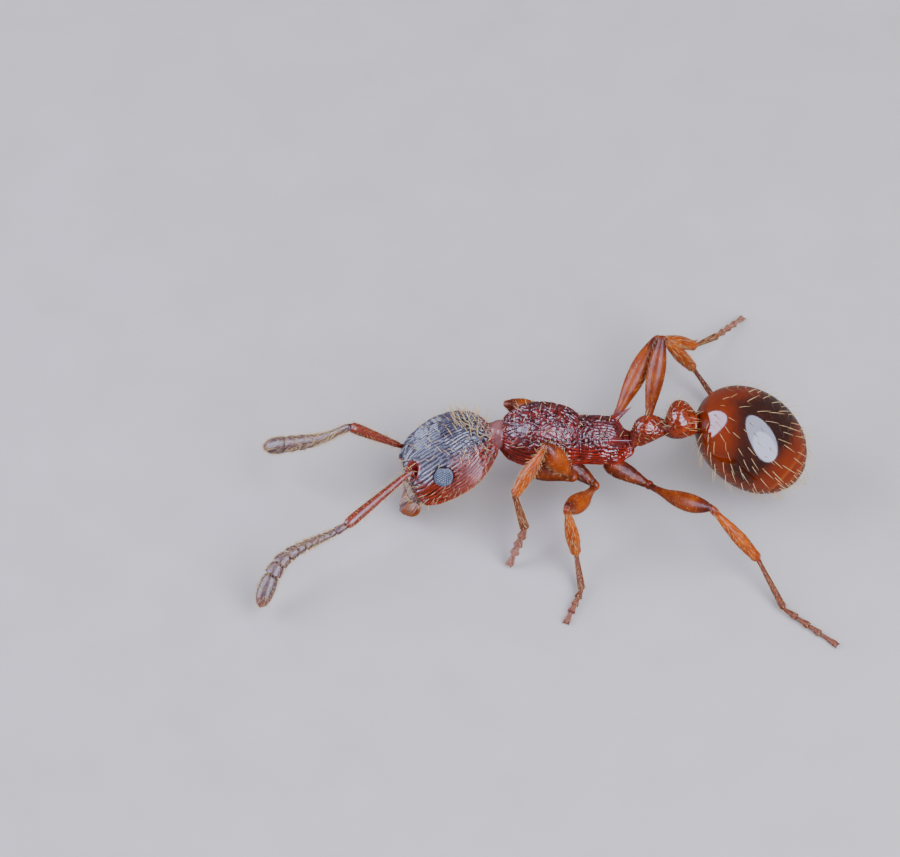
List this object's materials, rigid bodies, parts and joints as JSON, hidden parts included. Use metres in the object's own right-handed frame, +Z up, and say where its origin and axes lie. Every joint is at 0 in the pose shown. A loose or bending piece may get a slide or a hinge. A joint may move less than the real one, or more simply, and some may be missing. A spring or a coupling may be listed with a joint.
{
  "type": "fire ant worker",
  "caption": "Life-size worker of the European fire ant (Myrmica rubra), with a two-jointed waist, a ridged head, elbowed feelers and a smooth egg-shaped gaster, standing.",
  "frame": {"origin": "middle of the ant's bounding box, on the floor under its feet", "axes": "+Z up, the ant faces -Y, its left side is at +X"},
  "size_m": [0.0042, 0.006, 0.0014],
  "materials": {
    "dark_shell": "satin",
    "red_shell": "satin",
    "gaster_shell": "gloss",
    "leg_shell": "satin",
    "feeler": "matte",
    "eye": "satin",
    "hair": "satin"
  },
  "bodies": {
    "root": {"head": "dark_shell", "eye_L": "eye", "eye_R": "eye", "jaw_L": "red_shell", "jaw_R": "red_shell", "neck": "red_shell", "scape_L": "feeler", "scape_R": "feeler", "flagellum_L": "feeler", "flagellum_R": "feeler", "club_L": "feeler", "club_R": "feeler", "pronotum": "red_shell", "mesothorax": "red_shell", "propodeum": "red_shell", "spine_L": "red_shell", "spine_R": "red_shell", "petiole": "red_shell", "postpetiole": "red_shell", "gaster_1": "gaster_shell", "gaster_2": "gaster_shell", "gaster_3": "gaster_shell", "coxa_fore_L": "leg_shell", "coxa_fore_R": "leg_shell", "coxa_mid_L": "leg_shell", "coxa_mid_R": "leg_shell", "coxa_hind_L": "leg_shell", "coxa_hind_R": "leg_shell", "femur_fore_L": "leg_shell", "femur_fore_R": "leg_shell", "femur_mid_L": "leg_shell", "femur_mid_R": "leg_shell", "femur_hind_L": "leg_shell", "femur_hind_R": "leg_shell", "tibia_fore_L": "leg_shell", "tibia_fore_R": "leg_shell", "tibia_mid_L": "leg_shell", "tibia_mid_R": "leg_shell", "tibia_hind_L": "leg_shell", "tibia_hind_R": "leg_shell", "heel_fore_L": "leg_shell", "heel_fore_R": "leg_shell", "heel_mid_L": "leg_shell", "heel_mid_R": "leg_shell", "heel_hind_L": "leg_shell", "heel_hind_R": "leg_shell", "tarsus_fore_L": "leg_shell", "tarsus_fore_R": "leg_shell", "tarsus_mid_L": "leg_shell", "tarsus_mid_R": "leg_shell", "tarsus_hind_L": "leg_shell", "tarsus_hind_R": "leg_shell"}
  },
  "joints": []
}
